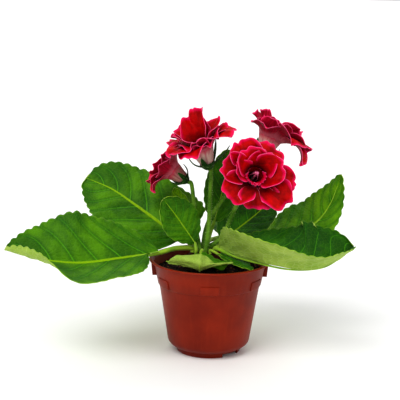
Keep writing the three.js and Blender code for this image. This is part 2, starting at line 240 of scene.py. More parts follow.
# Leaves. spine is the midrib from the blade's base to its tip, face the way that the upper side looks,
# fold the lift of each half in degrees; toneAndShade runs from deep green at 0 to fresh green at 1,
# low values painting shade on leaves that lie in shadow, high ones lit leaves and the paler green of young
# leaves
leafLook = {
    "thickness": 0.6, "scallopLength": 9.0, "scallopDepth": 2.6, "scallopPuff": 0.9,
    "veinSpacing": 0.15, "veinSweep": 0.3, "quilt": 2.4, "crinkle": 0.3, "rowsPerScallop": 6,
    "halfColumns": 11,
    "baseWidth": 2.2, "tipWidth": 0.8, "wave": 1.6, "petioleSides": 12, "petioleSteps": 60,
    "keel": [(0.0, 0.85, 0.35), (0.12, 0.62, 0.7), (0.3, 0.45, 0.8), (0.5, 0.33, 0.85), (0.7, 0.22, 0.9),
             (0.9, 0.1, 0.9)],
}
crownLook = {"centre": (-6, 12, 96.4), "outerRing": 12, "innerRing": 4.5, "clear": 0.6, "rise": 4}
leafSet = [
    {"node": "leaf_front_left", "start": 198, "petiole": 2.6, "stem": [(-34, 3, 102)], "toneAndShade": 0.55,
     "spine": [(-50, -6, 100), (-90, -19, 96), (-127, -31, 94), (-164, -37, 99), (-197, -38, 108)],
     "face": [(0, -0.5, 0.87), (0, -0.45, 0.87), (-0.2, -0.3, 0.9)],
     "width": 52, "left": 0.92, "widest": [0.35, 0.5], "fullness": [0.6, 0.55], "from": [0.08, 0],
     "foldLeft": [18, 17, 8], "bendLeft": [0, 0, 120], "foldRight": [12, 30, 14]},
    {"node": "leaf_back_left", "start": 166, "petiole": 2.2, "stem": [(-23, 17, 106)], "toneAndShade": 0.5,
     "spine": [(-31, 20, 107), (-50, 32, 120), (-80, 48, 138), (-102, 58, 150), (-128, 66, 159)],
     "face": [(0.2, -0.8, 0.6), (0.25, -0.75, 0.6), (0.1, -0.7, 0.7)],
     "width": 46, "left": 1.05, "widest": [0.45, 0.22], "fullness": [0.45, 0.34], "foldLeft": 8,
     "foldRight": 4},
    {"node": "leaf_front_right", "start": 338, "petiole": 2.4, "stem": [], "toneAndShade": 0.1,
     "spine": [(9, 1, 103), (30, -18, 99), (62, -31, 95), (95, -35, 92), (122, -26, 99), (140, -14, 111)],
     "face": [(0, 0, 1), (0, 0, 1), (-0.3, 0, 1)],
     "width": 50, "right": 0.88, "widest": [0.66, 0.38], "fullness": [0.42, 0.62],
     "foldLeft": [52, 52, 62], "foldRight": [66, 36, 18]},
    {"node": "leaf_back_right", "start": 10, "petiole": 2.3, "stem": [(24, 22, 102)], "toneAndShade": 0.85,
     "spine": [(48, 34, 101), (82, 42, 107), (108, 47, 121), (123, 50, 142), (132, 52, 170)],
     "face": [(-0.5, -0.5, 0.7), (-0.7, -0.6, 0.5), (-0.8, -0.6, 0.2)],
     "width": 37, "right": 0.52, "widest": 0.4, "fullness": 0.75, "foldLeft": 0, "foldRight": -45},
    {"node": "leaf_front_small", "start": 262, "petiole": 2.0, "stem": [], "toneAndShade": 0.4,
     "spine": [(-9, -6, 100), (-10, -25, 93), (-10, -41, 91), (-10, -46, 100), (-9, -38, 107)],
     "face": [(0, 0, 1), (0, 0.5, 1), (0, 1, 0.2)],
     "width": 33, "widest": 0.6, "fullness": 0.6, "foldLeft": 14, "foldRight": 12},
    {"node": "leaf_centre_left", "start": 230, "petiole": 1.8, "stem": [], "toneAndShade": 0.45,
     "spine": [(-15, 6, 107), (-24, 6, 120), (-35, 4, 136), (-47, 2, 152)],
     "face": [(0.3, -0.9, 0.3), (0.3, -0.9, 0.3), (0.3, -0.9, 0.3)],
     "width": 20, "widest": 0.55, "fullness": 0.6, "foldLeft": 8, "foldRight": 8},
    {"node": "leaf_back_centre", "start": 72, "petiole": 2.0, "stem": [(0, 28, 112)], "toneAndShade": 0.3,
     "spine": [(4, 31, 124), (10, 36, 147), (15, 40, 171), (18, 42, 195)],
     "face": [(0, -1, 0.2), (0, -1, 0.2), (0, -1, 0.2)],
     "width": 19, "widest": 0.5, "fullness": 0.5, "foldLeft": 10, "foldRight": 10},
    {"node": "leaf_mid_right", "start": 42, "petiole": 2.0, "stem": [], "toneAndShade": 0.1,
     "spine": [(12, 25, 106), (32, 38, 118), (50, 48, 131), (64, 54, 145)],
     "face": [(-0.4, -0.7, 0.6), (-0.4, -0.7, 0.6), (-0.4, -0.7, 0.6)],
     "width": 28, "widest": 0.45, "fullness": 0.6, "foldLeft": 6, "foldRight": 10},
    {"node": "leaf_low_right", "start": 302, "petiole": 1.5, "stem": [], "toneAndShade": 0.2,
     "spine": [(8, -4, 99), (24, -18, 94), (41, -33, 90)],
     "face": [(0, 0, 1), (0, 0, 1), (0, 0, 1)],
     "width": 10, "widest": 0.5, "fullness": 0.6, "foldLeft": 8, "foldRight": 8},
    {"node": "leaf_young_left", "start": 180, "ring": 8.2, "petiole": 1.1, "stem": [(-15, 20, 108)],
     "toneAndShade": 1.5,
     "spine": [(-19, 28, 118), (-24, 32, 132), (-31, 34, 145), (-37, 34, 157)],
     "face": [(0, -1, 0.2), (0, -1, 0.2), (0, -1, 0.2)],
     "width": 8, "widest": 0.5, "fullness": 0.6, "foldLeft": 10, "foldRight": 20},
    {"node": "leaf_rear_left", "start": 134, "petiole": 2.2, "stem": [(-24, 34, 103)], "toneAndShade": 0.4,
     "spine": [(-38, 50, 106), (-58, 78, 110), (-74, 104, 110), (-86, 128, 104)],
     "face": [(0.1, 0, 1), (0.1, 0, 1), (0, 0, 1)],
     "width": 36, "widest": 0.42, "fullness": 0.58, "foldLeft": 14, "foldRight": 14},
    {"node": "leaf_rear_right", "start": 102, "petiole": 2.2, "stem": [(0, 36, 103)], "toneAndShade": 0.5,
     "spine": [(14, 54, 104), (32, 82, 106), (46, 106, 104), (56, 128, 96)],
     "face": [(0, 0, 1), (0, 0, 1), (0, 0, 1)],
     "width": 36, "widest": 0.42, "fullness": 0.58, "foldLeft": 14, "foldRight": 14},
]


def veinPhase(u, s, right):
    # whole numbers lie on the side veins, which alternate left and right
    shift = 0.5 if right else 0.0
    return (u - leafLook["veinSweep"] * abs(s) ** 1.2) / leafLook["veinSpacing"] + shift


def leafTopMaterial(name, toneAndShade, length, width):
    material, tree, shader = startMaterial(name, 0.52, softSkin(0.14, 0.06, rgb(200, 225, 190), 0.3))
    uv = addNode(tree, "ShaderNodeUVMap", {"uv_map": "leaf"}).outputs[0]
    parts = addNode(tree, "ShaderNodeSeparateXYZ", None, {0: uv})
    u, v = parts.outputs[0], parts.outputs[1]
    s = calc(tree, "ABSOLUTE", calc(tree, "SUBTRACT", times(tree, v, 2.0), 1.0))
    right = times(tree, calc(tree, "GREATER_THAN", v, 0.5), 0.5)
    swept = times(tree, calc(tree, "POWER", s, 1.2), leafLook["veinSweep"])
    phase = calc(tree, "DIVIDE", calc(tree, "SUBTRACT", u, swept), leafLook["veinSpacing"])
    phase = calc(tree, "FRACT", calc(tree, "ADD", calc(tree, "ADD", phase, right), 8.0))
    nearVein = times(tree, calc(tree, "ABSOLUTE", calc(tree, "SUBTRACT", phase, 0.5)), 2.0)
    thin = calc(tree, "SUBTRACT", 1.0, times(tree, s, 0.9))
    veinLine = times(tree, rise(tree, nearVein, 0.9, 0.98), thin)
    ribReach = calc(tree, "ADD", times(tree, calc(tree, "SUBTRACT", 1.0, u), 0.035), 0.012)
    rib = rise(tree, calc(tree, "DIVIDE", s, ribReach), 1.3, 0.7)
    # fine net between the side veins
    cells = (length / 5.0, width / 4.2, 1)
    stretched = addNode(tree, "ShaderNodeMapping", None, {0: uv, "Scale": cells}).outputs[0]
    net = addNode(tree, "ShaderNodeTexVoronoi", {"feature": "DISTANCE_TO_EDGE", "voronoi_dimensions": "2D"},
                  {"Vector": stretched, "Scale": 1.0, "Randomness": 0.85}).outputs["Distance"]
    netLine = rise(tree, net, 0.10, 0.0)
    place = objectPlace(tree)
    cloud = noiseOf(tree, place, 38.0, 4.0)
    grain = noiseOf(tree, place, 900.0, 2.0)
    # toneAndShade darkens a leaf that lies in shadow as painted shade, and pales a young leaf
    deepColor = [mix(a, b, toneAndShade) for a, b in zip(rgb(16, 71, 0), rgb(67, 122, 0))]
    freshColor = [mix(a, b, toneAndShade) for a, b in zip(rgb(43, 114, 0), rgb(109, 161, 0))]
    color = mixColor(tree, rise(tree, cloud, 0.35, 0.65), deepColor, freshColor)
    # painted shade: darker green in the sunken creases along the side veins
    color = mixColor(tree, times(tree, rise(tree, nearVein, 0.45, 0.9), 0.5), color, rgb(20, 88, 0))
    color = mixColor(tree, times(tree, netLine, 0.14), color, rgb(110, 170, 20))
    color = mixColor(tree, times(tree, veinLine, 0.6), color, rgb(100, 180, 8))
    color = mixColor(tree, times(tree, rib, 0.8), color, rgb(150, 190, 0))
    color = mixColor(tree, times(tree, rise(tree, s, 0.95, 1.0), 0.4), color, rgb(120, 165, 40))
    height = calc(tree, "ADD", times(tree, rise(tree, net, 0.0, 0.3), 0.8),
                  times(tree, grain, 0.35))
    finishMaterial(tree, shader, color, height, 0.5, 0.0006)
    return material


def leafUnderMaterial():
    material, tree, shader = startMaterial("leafUnder", 0.6, softSkin(0.12, 0.08, rgb(225, 235, 210)))
    place = objectPlace(tree)
    uv = addNode(tree, "ShaderNodeUVMap", {"uv_map": "leaf"}).outputs[0]
    stretched = addNode(tree, "ShaderNodeMapping", None, {0: uv, "Scale": (26, 18, 1)}).outputs[0]
    net = addNode(tree, "ShaderNodeTexVoronoi", {"feature": "DISTANCE_TO_EDGE", "voronoi_dimensions": "2D"},
                  {"Vector": stretched, "Scale": 1.0, "Randomness": 0.9}).outputs["Distance"]
    cloud = noiseOf(tree, place, 60.0, 4.0)
    color = mixColor(tree, rise(tree, cloud, 0.3, 0.7), rgb(138, 170, 58), rgb(166, 192, 84))
    color = mixColor(tree, times(tree, rise(tree, net, 0.12, 0.0), 0.4), color, rgb(186, 208, 122))
    height = calc(tree, "SUBTRACT", 1.0, rise(tree, net, 0.0, 0.25))
    finishMaterial(tree, shader, color, height, 0.45, 0.0006)
    return material


def ribMaterial():
    material, tree, shader = startMaterial("leafRib", 0.5, softSkin(0.35, 0.3, rgb(230, 240, 200)))
    place = objectPlace(tree)
    cloud = noiseOf(tree, place, 90.0, 3.0)
    color = mixColor(tree, rise(tree, cloud, 0.3, 0.7), rgb(120, 165, 22), rgb(160, 196, 40))
    finishMaterial(tree, shader, color, noiseOf(tree, place, 1400.0, 2.0), 0.3, 0.0004)
    return material


def onSide(value, right):
    # one number for both halves, or [left, right]
    return value[1 if right else 0] if isinstance(value, list) else value


def leafHalfWidth(leaf, t, right):
    start = onSide(leaf.get("from", 0), right)
    reach = max(t - start, 0) / (1 - start)
    skew = math.log(0.5) / math.log(onSide(leaf["widest"], right))
    swell = max(math.sin(math.pi * reach ** skew), 0.0) ** onSide(leaf["fullness"], right)
    share = leaf.get("right" if right else "left", 1.0)
    return max(leaf["width"] * share * swell, mix(leafLook["baseWidth"], leafLook["tipWidth"], t))


class LeafSurface:
    # the smooth blade before veins and scallops
    def __init__(self, leaf):
        self.leaf = leaf
        self.spine = toMetres(leaf["spine"])
        self.faces = [Vector(face) for face in leaf["face"]]

    def row(self, t):
        ahead = (curvePoint(self.spine, t + 0.01) - curvePoint(self.spine, t - 0.01)).normalized()
        face = Vector([alongValue([f[i] for f in self.faces], t) for i in range(3)])
        across = ahead.cross(face).normalized()
        up = across.cross(ahead)
        return curvePoint(self.spine, t), ahead, across, up

    def point(self, row, t, s, lift=0.0):
        here, ahead, across, up = row
        right = s > 0
        fold = math.radians(alongValue(self.leaf["foldRight" if right else "foldLeft"], t))
        bend = math.radians(alongValue(self.leaf.get("bendRight" if right else "bendLeft", 0), t))
        reach = leafHalfWidth(self.leaf, t, right) * mm
        u = abs(s)
        angle = fold + bend * u
        if abs(bend) < 0.001:
            out, high = u * math.cos(fold), u * math.sin(fold)
        else:
            out = (math.sin(angle) - math.sin(fold)) / bend
            high = (math.cos(fold) - math.cos(angle)) / bend
        sign = 1 if right else -1
        place = here + across * (sign * out * reach) + up * (high * reach)
        normal = up * math.cos(angle) - across * (sign * math.sin(angle))
        return place + normal * lift, normal


def spreadColumns(half):
    # closer together near the midrib and the margin
    column = []
    for j in range(half + 1):
        x = j / half
        column.append(0.55 * x + 0.45 * (1 - math.cos(math.pi * x)) / 2)
    return [-c for c in reversed(column[1:])] + column


def crownStart(ring, degrees):
    # the first two points of a stem that grows from the crown
    centre = crownLook["centre"]
    turn = math.radians(degrees)
    foot = Vector((centre[0] + ring * math.cos(turn), centre[1] + ring * math.sin(turn),
                   centre[2] + crownLook["clear"])) * mm
    return [foot, foot + Vector((0, 0, crownLook["rise"] * mm))]


def makeLeaf(leaf, materials):
    surface = LeafSurface(leaf)
    length = sum((curvePoint(surface.spine, (i + 1) / 40) - curvePoint(surface.spine, i / 40)).length
                 for i in range(40))
    scallops = max(6, round(length / mm * 1.1 / leafLook["scallopLength"]))
    rows = scallops * leafLook["rowsPerScallop"]
    columns = spreadColumns(leafLook["halfColumns"])
    scale = leaf["width"] / 50
    quilt = leafLook["quilt"] * mm * max(scale, 0.35)
    stops = [0.65 * i / rows + 0.35 * (1 - math.cos(math.pi * i / rows)) / 2 for i in range(rows + 1)]
    frames = [surface.row(t) for t in stops]
    margins = {}
    for side in (-1, 1):
        edge = [surface.point(frames[i], stops[i], side)[0] for i in range(rows + 1)]
        travelled = [0.0]
        for a, b in zip(edge, edge[1:]):
            travelled.append(travelled[-1] + (b - a).length)
        count = max(5, round(travelled[-1] / mm / leafLook["scallopLength"]))
        margins[side] = (edge, [count * d / travelled[-1] for d in travelled])
    seed = Vector((leaf["start"] * 0.37, 1.7, 4.1))
    bm = bmesh.new()
    uvLayer = bm.loops.layers.uv.new("leaf")
    grid = bmesh.ops.create_grid(bm, x_segments=rows, y_segments=len(columns) - 1, size=1)["verts"]
    spot = {}
    for v in grid:
        i = round((v.co.x + 1) / 2 * rows)
        j = round((v.co.y + 1) / 2 * (len(columns) - 1))
        t, s = stops[i], -columns[j]
        side = 1 if s > 0 else -1
        edge, beat = margins[side]
        reach = abs(s)
        phase = veinPhase(t, s, s > 0) % 1
        hollow = abs(phase - 0.5) * 2
        puff = math.sin(math.pi / 2 * (1 - hollow)) ** 0.7
        body = math.sin(math.pi * min(max(t, 0.0), 1.0)) ** 0.4
        lift = quilt * puff * smooth(0.0, 0.3, reach) * (1 - 0.75 * reach ** 4) * body
        lift += 0.4 * quilt * smooth(0.0, 0.14, reach) * body
        flat = Vector((t * length / mm, s * leaf["width"], 0)) * 0.16 + seed
        lift += leafLook["crinkle"] * mm * noise.noise(flat) * 2.2 * smooth(0.02, 0.2, reach)
        lift += leafLook["crinkle"] * mm * noise.noise(flat * 2.3) * 1.2
        scallop = abs(math.sin(math.pi * beat[i])) ** 0.65
        atEdge = smooth(0.8, 1.0, reach)
        lift += leafLook["scallopPuff"] * mm * scallop * atEdge
        roll = math.sin(2 * math.pi * (t * 2.6 + 0.25 * side) + seed.x)
        lift += leafLook["wave"] * mm * scale * reach ** 3 * roll
        place, normal = surface.point(frames[i], t, s, lift)
        tangent = (edge[min(i + 1, rows)] - edge[max(i - 1, 0)]).normalized()
        outward = tangent.cross(normal).normalized() * side
        taper = smooth(0.0, 0.06, t)
        depth = leafLook["scallopDepth"] * mm * (scallop - 0.55) * atEdge * taper * max(scale, 0.5)
        place += outward * depth
        v.co = place
        spot[v] = (t, 0.5 + 0.5 * s)
    for face in bm.faces:
        for loop in face.loops:
            loop[uvLayer].uv = spot[loop.vert]
    bmesh.ops.recalc_face_normals(bm, faces=bm.faces[:])
    middle = min(bm.faces, key=lambda f: (f.calc_center_median() - frames[rows // 2][0]).length)
    if middle.normal.dot(frames[rows // 2][3]) < 0:
        bmesh.ops.reverse_faces(bm, faces=bm.faces[:])
    bm = thicken(bm, leafLook["thickness"] * mm, 1, 1, 2)
    # petiole, running on beneath the blade as the keel of the midrib
    route = crownStart(leaf.get("ring", crownLook["outerRing"]), leaf["start"]) + toMetres(leaf["stem"])
    thick = leaf["petiole"] * mm
    radii = [thick] * len(route)
    for t, share, sink in leafLook["keel"]:
        here, ahead, across, up = surface.row(t)
        route.append(here - up * (thick * share * sink))
        radii.append(thick * share)
    addTube(bm, route, radii, leafLook["petioleSides"], leafLook["petioleSteps"], 2)
    finishPiece(leaf["node"] + "_blade", bm, materials, [leaf["node"]])


leafUnder = leafUnderMaterial()
leafRib = ribMaterial()
for leaf in leafSet:
    spine = [Vector(point) for point in leaf["spine"]]
    spineLength = sum((b - a).length for a, b in zip(spine, spine[1:]))
    top = leafTopMaterial(leaf["node"] + "_top", leaf["toneAndShade"], spineLength, 2 * leaf["width"])
    makeLeaf(leaf, [top, leafUnder, leafRib])
print("leaves made")


# Flowers. foot is the bottom of the tube and axis the way that the flower opens. Petals are listed by the
# angle round the axis, 90 being the side nearest the sky; open is the lean from the axis at root and end
flowerLook = {
    "outerTube": [(2.6, 0.5), (4.4, 1.4), (6.6, 4.5), (8.6, 10.0), (10.4, 16.0), (11.9, 21.0)],
    "innerTube": [(5.6, 7.0), (6.8, 9.5), (7.8, 13.0), (8.4, 17.0)],
    "outerRoot": (11.6, 20.0), "innerRoot": (8.4, 16.5), "frillRoot": (7.2, 16.0),
    "ribs": 5, "ribDepth": 0.045, "thickness": 0.45, "rows": 15, "columns": 18, "tubeSteps": 48,
    "pathSteps": 40, "calyxFoot": -3, "longestRim": 14, "tubeRim": 20.0,
}
outerPetal = {"length": 27, "width": 19, "rootWidth": 8.5, "open": (38, 96), "curl": 14, "cup": 0.02,
              "ruffle": 2.6, "waves": 1.8, "lobe": 0.42}
innerPetal = {"length": 26, "width": 17, "rootWidth": 6.5, "open": (14, 70), "curl": 10, "cup": 0.03,
              "ruffle": 2.6, "waves": 1.7, "lobe": 0.42}
frillPetal = {"length": 11, "width": 5.5, "rootWidth": 3.2, "open": (-10, 35), "curl": 40, "cup": 0.05,
              "ruffle": 1.3, "waves": 3.4, "lobe": 0.5}
plainSepals = [{"turn": 72 * i + 18, "length": 19, "lean": (62, 12)} for i in range(5)]
flowerSet = [
    {"name": "upper_left", "foot": (-3, 10, 184), "axis": (-0.36, -0.12, 0.93), "size": 0.98, "start": 300,
     "stalk": [(-2, 9, 118), (-1, 11, 150)], "tubeDarkening": 0.15, "seed": 1.0,
     "outer": [{"turn": 52, "length": 32, "width": 20, "open": (40, 100), "curl": 12},
               {"turn": -38, "length": 27, "width": 17, "open": (42, 112), "curl": 14},
               {"turn": 5, "length": 17, "width": 15, "open": (35, 78)},
               {"turn": 285, "length": 29, "open": (38, 92)}, {"turn": 100, "length": 26, "open": (35, 80)},
               {"turn": 150, "open": (30, 70)}, {"turn": 215, "open": (30, 80)}],
     "inner": [{"turn": 264, "length": 33, "width": 16, "open": (8, 50), "cup": 0.05, "curl": -10},
               {"turn": 212, "length": 33, "width": 17, "open": (4, 34), "cup": 0.04},
               {"turn": 168, "length": 38, "width": 17, "open": (-4, 14), "cup": 0.04},
               {"turn": 122, "length": 44, "width": 14, "open": (-4, 14), "ruffle": 3.6, "cup": 0.06},
               {"turn": 86, "length": 35, "width": 14, "open": (14, 62), "cup": 0.07, "curl": -10},
               {"turn": 28, "length": 25, "open": (18, 70), "ruffle": 3.2},
               {"turn": 325, "length": 27, "open": (18, 70), "ruffle": 3.2}],
     "sepals": [{"turn": 95, "length": 25, "lean": (42, 18)}, {"turn": 70, "length": 26, "lean": (72, 50)},
                {"turn": 330, "length": 18, "lean": (60, 14)}, {"turn": 265, "length": 22, "lean": (60, 14)},
                {"turn": 190, "length": 19, "lean": (60, 16)}]},
    {"name": "lower_left", "foot": (-25, 22, 167), "axis": (-0.8, 0.05, 0.55), "size": 0.78, "start": 190,
     "stalk": [(-14, 15, 118), (-17, 19, 146)], "tubeDarkening": 0.75, "seed": 2.3,
     "outer": [{"turn": 10, "length": 28, "open": (30, 60)}, {"turn": 68, "length": 34, "open": (34, 80)},
               {"turn": 128, "length": 32}, {"turn": 190}, {"turn": 246, "length": 32, "open": (20, 70)},
               {"turn": 292, "length": 30, "width": 18, "open": (40, 104)}],
     "inner": [{"turn": 40, "length": 34, "open": (10, 50)}, {"turn": 95, "length": 34}, {"turn": 165},
               {"turn": 222}, {"turn": 282, "length": 32}, {"turn": 340, "length": 34, "open": (5, 40)}],
     "sepals": plainSepals},
    {"name": "centre_right", "foot": (40, 8, 173), "axis": (0.12, -0.93, 0.34), "size": 1.0, "start": 20,
     "stalk": [(12, 15, 112), (24, 17, 140), (37, 19, 166)], "tubeDarkening": 0.4, "seed": 3.7,
     "outer": [{"turn": 168, "length": 28, "width": 20, "curl": -35, "cup": 0.06, "ruffle": 1.8},
               {"turn": 120, "length": 29, "width": 18, "open": (38, 84), "cup": 0.04},
               {"turn": 62, "length": 25},
               {"turn": -14, "length": 32, "width": 14}, {"turn": -48, "length": 36, "width": 17},
               {"turn": -88, "length": 27, "width": 21, "ruffle": 3.2},
               {"turn": 217, "length": 30, "width": 20, "cup": 0.045}],
     "inner": [{"turn": 116, "length": 29, "width": 19, "open": (8, 66), "cup": 0.055, "curl": 20,
                "ruffle": 1.8},
               {"turn": 62, "length": 27, "width": 17, "open": (5, 58), "cup": 0.06, "curl": 15},
               {"turn": 8, "length": 33, "width": 22, "open": (10, 54), "cup": 0.06, "curl": -5,
                "ruffle": 1.8},
               {"turn": -34, "length": 32, "width": 17, "open": (30, 98), "curl": 30, "cup": -0.03},
               {"turn": 252, "length": 25, "width": 15, "open": (35, 100), "cup": -0.02, "lobe": 0.15},
               {"turn": 165, "length": 24, "width": 12, "open": (8, 60), "cup": 0.07}],
     "sepals": plainSepals},
    {"name": "back_right", "foot": (50, 36, 190), "axis": (0.4, 0.32, 0.86), "size": 0.95, "start": 100,
     "stalk": [(-2, 21, 125), (18, 27, 156), (40, 31, 176)], "tubeDarkening": 0.3, "seed": 5.1,
     "outer": [{"turn": 45, "length": 27, "width": 14, "open": (20, 44), "curl": 5, "cup": 0.06},
               {"turn": 88, "length": 28, "width": 14, "open": (12, 30), "curl": 5, "cup": 0.06},
               {"turn": 112, "length": 22, "open": (45, 88)}, {"turn": 145, "length": 24, "open": (30, 62)},
               {"turn": 182, "length": 36, "width": 21, "open": (48, 122)},
               {"turn": 228, "length": 38, "width": 19, "open": (42, 108), "curl": 0},
               {"turn": 206, "length": 45, "width": 15, "open": (64, 148), "curl": 15},
               {"turn": 275, "length": 30, "open": (34, 80)}, {"turn": 330, "open": (25, 60)}],
     "inner": [{"turn": 20, "length": 25, "open": (5, 40)}, {"turn": 80, "length": 25, "open": (5, 40)},
               {"turn": 140, "length": 27, "open": (10, 55), "ruffle": 3.4},
               {"turn": 205, "length": 34, "open": (15, 66), "ruffle": 3.4},
               {"turn": 255, "length": 30, "open": (10, 50)}, {"turn": 315, "length": 26, "open": (5, 40)}],
     "sepals": plainSepals},
]


def flowerFrame(flower):
    ahead = Vector(flower["axis"]).normalized()
    sky = (Vector((0, 0, 1)) - ahead * ahead.z).normalized()
    turn = Matrix((sky.cross(ahead), sky, ahead)).transposed().to_4x4()
    size = Matrix.Scale(flower["size"] * mm, 4)
    return Matrix.Translation(Vector(flower["foot"]) * mm) @ turn @ size


def outAndAside(degrees):
    turn = math.radians(degrees)
    return Vector((math.cos(turn), math.sin(turn), 0)), Vector((-math.sin(turn), math.cos(turn), 0))


def petalLayers(bm):
    return bm.loops.layers.uv.new("petal"), bm.verts.layers.float.new("rim")


def leanPath(start, length, lean, curl, steps):
    # a line that leaves the tube's wall and leans over: (radius, height, lean) at each step
    path = [(start[0], start[1], math.radians(lean[0]))]
    for i in range(steps):
        y = (i + 1) / steps
        bend = math.radians(mix(lean[0], lean[1], smooth(0, 0.9, y)) + curl * y ** 4)
        radius, height, before = path[-1]
        middle = (bend + before) / 2
        step = length / steps
        path.append((radius + step * math.sin(middle), height + step * math.cos(middle), bend))
    return path


def petalSheet(bm, layers, root, petal, seed):
    # a rounded lobe that rises from the tube's wall and rolls outwards, ruffled towards its margin
    uvLayer, rimLayer = layers
    rows, columns, fine = flowerLook["rows"], flowerLook["columns"], flowerLook["pathSteps"]
    length, width, rootWidth, lobe = petal["length"], petal["width"], petal["rootWidth"], petal["lobe"]
    path = leanPath(root, length, petal["open"], petal["curl"], fine)
    outward, aside = outAndAside(petal["turn"])
    up = Vector((0, 0, 1))
    before = set(bm.faces)
    grid = bmesh.ops.create_grid(bm, x_segments=columns, y_segments=rows, size=1)["verts"]
    spot = {}
    for v in grid:
        x, y = v.co.x, (v.co.y + 1) / 2
        around = math.atan2(x, max(y - 0.25, 0.02))
        # the outer part of the square sheet becomes a half disc with a slight notch
        end = max(0.0, (y - lobe) / (1 - lobe))
        across = x * math.sqrt(1 - end * end / 2)
        reach = y if end == 0 else lobe + (1 - lobe) * end * math.sqrt(1 - x * x / 2)
        reach -= 0.05 * math.exp(-(x / 0.22) ** 2) * smooth(0.7, 1, y)
        edgeWave = 0.03 * math.sin(petal["waves"] * 5 * around + seed * 3) * smooth(0.7, 1, max(y, abs(x)))
        reach += edgeWave
        halfWidth = mix(rootWidth, width, smooth(0, 0.5, y)) * (1 + edgeWave)
        place = min(max(reach, 0), 0.999) * fine
        i = int(place)
        radius, height, lean = (mix(path[i][k], path[i + 1][k], place - i) for k in range(3))
        bow = mix(1 / root[0], petal["cup"], smooth(0, 0.55, y))
        angle = bow * across * halfWidth
        over, high = math.sin(angle) / bow, (1 - math.cos(angle)) / bow
        normal = up * math.sin(lean) - outward * math.cos(lean)
        free = min(1.0, abs(x) ** 3 + y ** 3.6) * smooth(0.12, 0.5, y)
        wave = math.sin(petal["waves"] * 2 * around + seed)
        wave += 0.5 * math.sin(petal["waves"] * 4.3 * around + seed * 2.1)
        lift = petal["ruffle"] * free * wave + 0.3 * math.sin(8 * x + seed) * y
        lift += 0.9 * noise.noise(Vector((x * 1.8 + seed, y * 2.2, seed))) * y
        v.co = outward * radius + up * height + aside * over + normal * (high + lift)
        fromSide = (1 - abs(x)) * halfWidth + 7 * (1 - smooth(0.1, 0.45, y))
        v[rimLayer] = min(fromSide, (1 - y) * length * 0.92, flowerLook["longestRim"])
        spot[v] = (0.5 + 0.5 * x, y)
    sheet = [face for face in bm.faces if face not in before]
    for face in sheet:
        for loop in face.loops:
            loop[uvLayer].uv = spot[loop.vert]
    bmesh.ops.reverse_faces(bm, faces=sheet)


def tubeSheet(bm, layers, profile, ribs):
    # a turned wall, looking inwards, with soft ribs along it
    uvLayer, rimLayer = layers
    smoothProfile = [curvePoint([Vector((r, 0, h)) for r, h in profile], i / 10) for i in range(11)]
    before = set(bm.faces)
    line = [bm.verts.new(p) for p in smoothProfile]
    edges = [bm.edges.new(pair) for pair in zip(line, line[1:])]
    bmesh.ops.spin(bm, geom=line + edges, cent=(0, 0, 0), axis=(0, 0, 1), angle=2 * math.pi,
                   steps=flowerLook["tubeSteps"], use_merge=True)
    wall = [f for f in bm.faces if f not in before]
    top = profile[-1][1]
    for v in {v for f in wall for v in f.verts}:
        turn = math.atan2(v.co.y, v.co.x)
        ridge = math.sin(flowerLook["ribs"] * turn)
        swell = 1 + flowerLook["ribDepth"] * ribs * ridge * smooth(0, top, v.co.z)
        v.co.x *= swell
        v.co.y *= swell
        v[rimLayer] = flowerLook["tubeRim"]
    bmesh.ops.recalc_face_normals(bm, faces=wall)
    sample = wall[len(wall) // 2]
    centre = sample.calc_center_median()
    if sample.normal.dot(Vector((centre.x, centre.y, 0))) > 0:
        bmesh.ops.reverse_faces(bm, faces=wall)
    for face in wall:
        for loop in face.loops:
            co = loop.vert.co
            loop[uvLayer].uv = (math.atan2(co.y, co.x) / (2 * math.pi) + 0.5, co.z / top)
        face.material_index = 0


def makePetalRing(flower, ring, tube, root, plain, extra, materials):
    bm = bmesh.new()
    layers = petalLayers(bm)
    tubeSheet(bm, layers, tube, 1.0 if ring == "outer" else 0.4)
    for i, own in enumerate(flower[ring]):
        petalSheet(bm, layers, root, {**plain, **own}, flower["seed"] + 1.9 * i)
    for i, own in enumerate(extra):
        petalSheet(bm, layers, flowerLook["frillRoot"], {**frillPetal, **own}, flower["seed"] + 2.7 * i)
    bm = thicken(bm, flowerLook["thickness"], 1, 1, 2)
    bmesh.ops.transform(bm, matrix=flowerFrame(flower), verts=bm.verts[:])
    name = ring + "_petals_" + flower["name"]
    finishPiece("petals_" + ring + "_" + flower["name"], bm, materials, [name])


